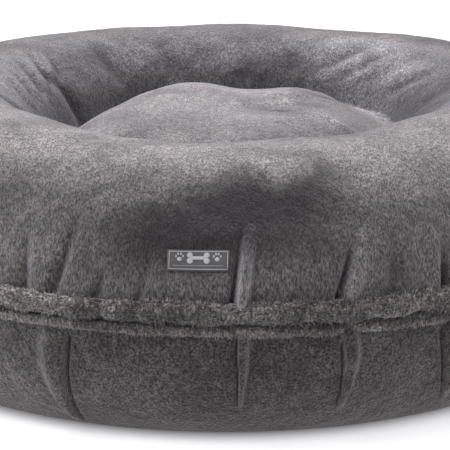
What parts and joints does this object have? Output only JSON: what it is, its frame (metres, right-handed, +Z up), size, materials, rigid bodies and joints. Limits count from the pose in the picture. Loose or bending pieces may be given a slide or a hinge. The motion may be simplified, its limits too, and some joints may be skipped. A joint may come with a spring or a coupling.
{
  "type": "pet cushion bed",
  "caption": "Round plush pet bed with a fat ring bolster, a padded hollow in the middle, a zip hidden under a flap round its side and a small label.",
  "frame": {"origin": "centre of the underside, on the floor", "axes": "+Z up; the front, with the label, faces -Y; the zip's ends are at the back, at +Y"},
  "size_m": [1.0156, 1.0145, 0.2843],
  "materials": {
    "plush": "matte",
    "nonslip": "matte",
    "label": "satin",
    "zip_tape": "matte",
    "zip_coil": "satin",
    "zip_metal": "satin",
    "liner": "matte",
    "filling": "matte"
  },
  "bodies": {
    "bed": {"upper_cover": "plush", "centre_panel": "plush", "lower_cover": "plush", "base_panel": "nonslip", "zip_flap": "plush", "lower_welt": "plush", "back_seam_strip": "plush", "front_label": "label", "zip_tape_upper": "zip_tape", "zip_tape_lower": "zip_tape", "zip_coil_upper": "zip_coil", "zip_coil_lower": "zip_coil", "zip_top_stop": "zip_metal", "zip_bottom_stop": "zip_metal", "bolster_liner_top": "liner", "bolster_liner_bottom": "liner", "pad_liner_top": "liner", "pad_liner_bottom": "liner", "bolster_filling": "filling", "pad_filling": "filling"},
    "slider": {"zip_slider": "zip_metal"},
    "pull": {"zip_pull": "zip_metal"}
  },
  "joints": [
    {"name": "zip_run", "type": "hinge", "parent": "bed", "child": "slider", "pos_m": [0, 0, 0.1445], "axis": [0, 0, 1], "range_deg": [0, 333]},
    {"name": "pull_swing", "type": "hinge", "parent": "slider", "child": "pull", "pos_m": [-0.11362, 0.48291, 0.1445], "axis": [0, 0, 1], "range_deg": [0, 170]}
  ]
}
